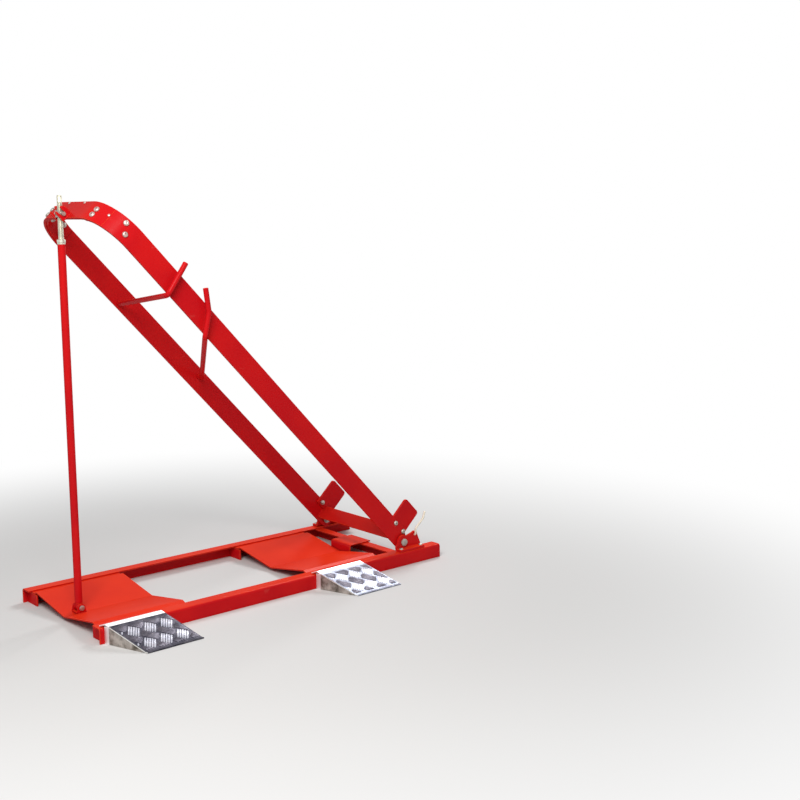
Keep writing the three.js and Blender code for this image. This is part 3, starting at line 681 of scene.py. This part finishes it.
# A nut, in shares of the shank's radius: its height, half its width over the corners and its chamfer,
# and the share of its width that is left for its face
NUT_HEIGHT = 1.5
NUT_CORNERS = 1.75
NUT_CHAMFER = 0.12
NUT_FACE = 0.94

# The end of the shank beyond its nut, as (radius, station) in shares of the shank's radius
SHANK_END = ((1.06, 0.0), (0.96, 0.1), (0.96, 0.4), (0.84, 0.5))

# A domed head: its height in shares of its radius, and how flat its crown is, in radians
DOME_HEIGHT = 0.55
DOME_CROWN = 0.12


def round_corner(sign, degrees, height):
    """Place of a head on a round corner of the loop, turned so that it looks outwards."""
    angle = math.radians(degrees)
    outward = Vector((-math.sin(angle), sign * math.cos(angle), 0))
    seat = Vector((CORNER_X, sign * CORNER_Y, STRAP_LOWER + height)) + outward * (CORNER_OUTER + GAP)
    return aimed(seat, -outward, LOOP)


def rivet_head(radius):
    """A domed head, the underside at station zero."""
    angles = quarter_turn(5)[:-1]
    dome = [(radius * math.sin(t + DOME_CROWN), -DOME_HEIGHT * radius * math.cos(t)) for t in angles]
    return dome + [(radius, 0.0)]


def bolt_head(radius):
    """A button head, the underside at station zero."""
    return [(wide * radius, station * radius, *form) for wide, station, *form in BUTTON_HEAD]


def tight_bolt(radius, grip):
    """A button-head bolt with its nut drawn up, and the end of its shank beyond the nut."""
    r = radius
    nut_end = grip + NUT_HEIGHT * r
    chamfer = NUT_CHAMFER * r
    flats = NUT_CORNERS * r * math.cos(FULL_TURN / 12)
    face = flats * NUT_FACE
    nut = [(r, grip), (face, grip), (flats, grip + chamfer, HEX), (flats, nut_end - chamfer, HEX),
           (face, nut_end)]
    shank_end = [(r * wide, nut_end + station * r) for wide, station in SHANK_END]
    return bolt_head(r) + nut + shank_end


def add_loop_welds(side, sign):
    x = -LOOP_REACH - 2 * GAP
    low, high = EAR_WELD_Z
    weld_bead(f"{side}_ear_weld", (x, sign * EAR_WELD_Y, low), (x, sign * EAR_WELD_Y, high),
              EAR_WELD_RADIUS, LOOP, "loop")
    y = sign * CROSS_STRAP_WELD_Y
    low, high = CROSS_STRAP_WELD_Z
    for x, face in CROSS_STRAP_WELDS_X:
        weld_bead(f"{side}_cross_strap_{face}_weld", (x, y, low), (x, y, high), CROSS_STRAP_WELD_RADIUS,
                  LOOP, "loop")


def add_loop():
    for node in ("near_arm", "far_arm", "loop_end_bend"):
        softened(node, RED, edge=1.2)
    softened("lower_cross_strap", RED, edge=1.0)
    for side, sign in SIDES:
        softened(f"{side}_splice_plate", RED, edge=0.8)
        softened(f"{side}_end_post", RED, edge=1.2)
        softened(f"{side}_fork_ear", RED, edge=1.0)
        # Near heads get the brighter zinc, pink-tinted as a painted reflection of the red around them;
        # far heads get the dull zinc
        finish = ZINC_PAINTED_RED_REFLECTION if side == "near" else ZINC_DULL
        for i, (degrees, height) in enumerate(SPLICE_BOLTS):
            place = round_corner(sign, degrees, height)
            bolt = tight_bolt(BOLT_RADIUS, SPLICE_GRIP)
            turned_node(f"{side}_splice_bolt_{i + 1}", bolt, place, finish)
        end_place = aimed((-LOOP_REACH - GAP, sign * END_RIVET_Y, END_RIVET_Z), (1, 0, 0), LOOP)
        for i, place in enumerate((round_corner(sign, *CORNER_RIVET), end_place)):
            turned_extra(f"{side}_end_rivet_{i + 1}", rivet_head(RIVET_RADIUS), place, finish, "loop")
        for i, x in enumerate(POST_BOLTS_X):
            place = aimed((x, sign * (LOOP_HALF + GAP), POST_BOLT_Z), (0, -sign, 0), LOOP)
            bolt = tight_bolt(BOLT_RADIUS, POST_GRIP)
            turned_node(f"{side}_post_bolt_{i + 1}", bolt, place, ZINC_DULL)
        add_loop_welds(side, sign)


# Stop bars: radius, bend, how far their near leg stands outside the arm, and the last straight run
# that is square to the far arm
STOP_BAR_RADIUS = 8.0
STOP_BAR_BEND = 16.0
STOP_BAR_OUTSIDE = 17.0
STOP_BAR_LAST = 19.0


def stop_bar(name, reach, drop, leg, skew, far_rise):
    """A bent bar that passes under the near arm, drop below it and reach from the hinge.

    Its near leg climbs by (along, rise) steps. It meets the far arm skew nearer to the hinge, and
    far_rise above the strap's lower edge.
    """
    below = STRAP_LOWER - drop - STOP_BAR_RADIUS
    corners = [Vector((-reach, -LOOP_HALF - STOP_BAR_OUTSIDE, below))]
    for along, rise in leg:
        corners.insert(0, corners[0] + Vector((-along, 0, rise)))
    far_end = LOOP_HALF - STRAP - GAP
    for y in (far_end - STOP_BAR_LAST, far_end):
        corners.append(Vector((skew - reach, y, STRAP_LOWER + far_rise)))
    stations = bar_stations(rounded_route(corners, STOP_BAR_BEND), STOP_BAR_RADIUS, rounding=1.6)
    settle(swept(f"{name}_bent", stations, LOOP, RED, sides=28), node=name)


def add_stop_bars():
    stop_bar("upper_stop_bar", reach=1255.0, drop=1.7, leg=[(22, 106)], skew=90.0, far_rise=13.5)
    stop_bar("lower_stop_bar", reach=1081.0, drop=4.0, leg=[(40, 60), (59, 43)], skew=298.0,
             far_rise=41.0)


# The hook's corners from the near left corner of the base, its bend and its wire's radius
HOOK_CORNERS = ((1220.8, 39.5, 92.0), (1204.8, 39.5, 92.0), (1204.8, 22.5, 92.0),
                (1206.8, 22.5, 114.0), (1240.8, 22.5, 144.0), (1248.8, 22.5, 167.0))
HOOK_BEND = 4.2
HOOK_RADIUS = 3.5


def add_hook():
    route = rounded_route([NEAR_LEFT + Vector(corner) for corner in HOOK_CORNERS], HOOK_BEND, steps=8)
    stations = bar_stations(route, HOOK_RADIUS, rounding=0.9)
    wire = swept("hold_down_hook_bent", stations, BASE, ZINC_CREAM, sides=20)
    settle(wire, node="hold_down_hook")


# The prop: the place of its upright axis, its tube, and the height of its foot pin
PROP_X = -586.63
TUBE_OUTER = 11.25
TUBE_INNER = 9.25
TUBE_FOOT = 47.71
TUBE_TOP = 1103.31
FOOT_PIN_Z = 34.41

# Profiles of its fittings: the pin from the prop's axis, the bush and the collar from the top of the
# tube, the screw's end from the floor
FOOT_PIN = [(6.4, -22.6), (7.6, -22.2), (8.0, -21.2), (8.0, -18.9), (7.7, -18.6), (5.0, -18.6),
            (5.0, 22.5), (4.3, 23.3)]
TOP_BUSH = [(7.95, -30.0), (8.95, -30.0), (8.95, 0.3), (10.9, 0.3), (11.25, 0.7), (11.25, 3.7),
            (10.65, 4.3), (8.5, 4.3), (7.95, 3.8)]
THRUST_COLLAR = tube_profile(outer=12.0, inner=7.95, low=4.6, high=13.6, round_over=0.8)
SCREW_END = [(6.2, 1217.0), (6.2, 1220.4), (6.5, 1220.8, HEX), (6.0, 1221.4, HEX), (6.0, 1239.8, HEX),
             (5.6, 1241.0)]

# The screw's thread: its lower and upper end, its radii and pitch, the turns that are cut off at each
# end, and its outline along one pitch
THREAD_LOW = 760.0
THREAD_HIGH = 1219.0
THREAD_CREST = 7.65
THREAD_ROOT = 6.5
THREAD_PITCH = 3.0
SPARE_TURNS = 2
THREAD_OUTLINE = ((0.0, THREAD_ROOT), (0.22, THREAD_ROOT), (0.5, THREAD_CREST), (0.72, THREAD_CREST))

# Welds of the prop's foot bracket: half their length, how far out and how high they lie, their radius
FOOT_WELD_HALF = 14
FOOT_WELD_Y = 18.6
FOOT_WELD_Z = 18.9
FOOT_WELD_RADIUS = 2.0


def cut_square(shape, level, waste):
    """Cuts a shape off at a height, clears the side that waste names, and caps the cut."""
    whole = [*shape.verts, *shape.edges, *shape.faces]
    made = bmesh.ops.bisect_plane(
        shape, geom=whole, plane_co=(0, 0, level * MM), plane_no=(0, 0, 1), **{waste: True})
    rim = [e for e in made["geom_cut"] if isinstance(e, bmesh.types.BMEdge)]
    bmesh.ops.contextual_create(shape, geom=rim)


def threaded_rod(name, sides=30):
    """A rod with a real helical thread, cut square at both ends."""
    shape = bmesh.new()
    turns = math.ceil((THREAD_HIGH - THREAD_LOW) / THREAD_PITCH) + 2 * SPARE_TURNS
    grid = []
    for i in range(turns * sides + 1):
        angle = FULL_TURN * i / sides
        x = math.cos(angle)
        y = math.sin(angle)
        lift = THREAD_LOW + THREAD_PITCH * (i / sides - SPARE_TURNS)
        points = [Vector((PROP_X + reach * x, MIDDLE_Y + reach * y, lift + share * THREAD_PITCH))
                  for share, reach in THREAD_OUTLINE]
        grid.append([shape.verts.new(point * MM) for point in points])
    for i in range(turns * sides):
        for k in range(3):
            shape.faces.new((grid[i][k], grid[i + 1][k], grid[i + 1][k + 1], grid[i][k + 1]))
        if i + 1 + sides < len(grid):
            shape.faces.new((grid[i][3], grid[i + 1][3], grid[i + 1 + sides][0], grid[i + sides][0]))
    cut_square(shape, THREAD_LOW, "clear_inner")
    cut_square(shape, THREAD_HIGH, "clear_outer")
    loose = [v for v in shape.verts if not v.link_faces]
    bmesh.ops.delete(shape, geom=loose, context="VERTS")
    triangulate_large(shape)
    bmesh.ops.dissolve_degenerate(shape, dist=SLIVER, edges=shape.edges)
    return finished(shape, name, ZINC_SCREW, crease=50.0)


def add_prop():
    upright = Matrix.Translation((PROP_X, MIDDLE_Y, 0))
    tube_section = tube_profile(TUBE_OUTER, TUBE_INNER, TUBE_FOOT, TUBE_TOP, round_over=0.6)
    tube = turned("prop_tube_drawn", tube_section, upright, RED, sides=40, closed=True)
    settle(tube, node="prop_tube")
    softened("prop_foot_eye", RED, edge=0.6)
    pin_place = aimed((PROP_X, MIDDLE_Y, FOOT_PIN_Z), (0, 1, 0))
    turned_node("prop_foot_pin", FOOT_PIN, pin_place, ZINC_DULL)
    tube_end = upright @ Matrix.Translation((0, 0, TUBE_TOP))
    turned_node("tube_top_bush", TOP_BUSH, tube_end, ZINC_SCREW, closed=True)
    softened("trunnion_nut", ZINC_DULL, edge=0.9)
    turned_node("thrust_collar", THRUST_COLLAR, tube_end, ZINC_SCREW, closed=True)
    settle(threaded_rod("threaded_rod_cut"), node="threaded_rod")
    turned_extra("screw_hexagon_end", SCREW_END, upright, ZINC_END, "screw")
    for side, sign in SIDES:
        y = MIDDLE_Y + sign * FOOT_WELD_Y
        weld_bead(f"{side}_foot_bracket_weld", (PROP_X - FOOT_WELD_HALF, y, FOOT_WELD_Z),
                  (PROP_X + FOOT_WELD_HALF, y, FOOT_WELD_Z), FOOT_WELD_RADIUS, BASE, "base")


add_base()
add_ramps()
add_hinges()
add_loop()
add_stop_bars()
add_hook()
add_prop()


# Floor, light and camera, in metres

# Half the floor's width, how far it lies under the lift, where it fades into the background, its colour
FLOOR_HALF = 40.0
FLOOR_DROP = 0.0003
FADE_START = 0.8
FADE_END = 2.4
FLOOR_GREY = (0.70, 0.70, 0.70, 1)

# The light of the room, and the background that shows behind the lift and in its metal
ROOM_LIGHT = 0.3
BACKGROUND = 1.0
WHITE = (1, 1, 1, 1)

# The camera's lens in millimetres, its place, and the directions of its own axes
CAMERA_LENS = 53.776
CAMERA_PLACE = (-2.12616, -3.12757, 1.17674)
CAMERA_RIGHT = Vector((0.750347, -0.66102, -0.005728))
CAMERA_UP = Vector((0.104679, 0.11026, 0.988375))
CAMERA_AHEAD = Vector((0.652704, 0.742223, -0.151928))


def pale_floor():
    """A pale matt floor that fades to the background's white away from the lift."""
    floor = Finish("pale_floor", Base_Color=FLOOR_GREY, Roughness=0.95, Specular_IOR_Level=0.0)
    where = floor.node("ShaderNodeNewGeometry", output="Position")
    reach = floor.node("ShaderNodeVectorMath", {"operation": "LENGTH"}, {0: where}, output="Value")
    glow = floor.node("ShaderNodeEmission", {}, {"Color": WHITE, "Strength": BACKGROUND})
    matt = Wire(floor, floor.shader.outputs["BSDF"])
    fade = floor.seen() * reach.between(FADE_START, FADE_END)
    faded = floor.node("ShaderNodeMixShader", {}, {"Fac": fade, 1: matt, 2: glow})
    floor.set(floor.tree.nodes["Material Output"], {"Surface": faded})
    return floor.material


def add_floor():
    shape = bmesh.new()
    bmesh.ops.create_grid(shape, x_segments=8, y_segments=8, size=FLOOR_HALF)
    bmesh.ops.translate(shape, verts=shape.verts, vec=(0, 0, -FLOOR_DROP))
    finished(shape, "studio_floor", pale_floor(), crease=30.0)


def add_world():
    world = bpy.data.worlds.new("studio")
    bpy.context.scene.world = world
    world.use_nodes = True
    studio = Nodes(world.node_tree)
    soft = studio.node("ShaderNodeBackground", {}, {"Color": WHITE, "Strength": ROOM_LIGHT})
    white = studio.node("ShaderNodeBackground", {}, {"Color": WHITE, "Strength": BACKGROUND})
    both = studio.node("ShaderNodeMixShader", {}, {"Fac": studio.seen(), 1: soft, 2: white})
    studio.set(studio.tree.nodes["World Output"], {"Surface": both})


def add_lamp(name, place, aim, size, power, colour):
    data = bpy.data.lights.new(name, "AREA")
    data.size = size
    data.energy = power
    data.color = colour
    lamp = placed(name, data)
    lamp.location = place
    lamp.rotation_euler = (Vector(aim) - Vector(place)).to_track_quat("-Z", "Y").to_euler()


def add_camera():
    data = bpy.data.cameras.new("photo_camera")
    data.lens = CAMERA_LENS
    data.sensor_width = 36.0
    data.clip_end = 200.0
    camera = placed("photo_camera", data)
    turn = Matrix((CAMERA_RIGHT, CAMERA_UP, -CAMERA_AHEAD)).transposed().to_4x4()
    camera.matrix_world = Matrix.Translation(CAMERA_PLACE) @ turn
    bpy.context.scene.camera = camera


add_floor()
add_world()
add_lamp("key", place=(-1.6, -1.6, 2.3), aim=(-0.1, 0.1, 0.4), size=1.3, power=62.0,
         colour=(1.0, 0.98, 0.95))
add_lamp("rim", place=(2.2, 1.0, 2.6), aim=(0.1, -0.2, 0.0), size=1.2, power=55.0,
         colour=(1.0, 1.0, 1.0))
add_camera()
bpy.context.scene.view_settings.view_transform = "Standard"
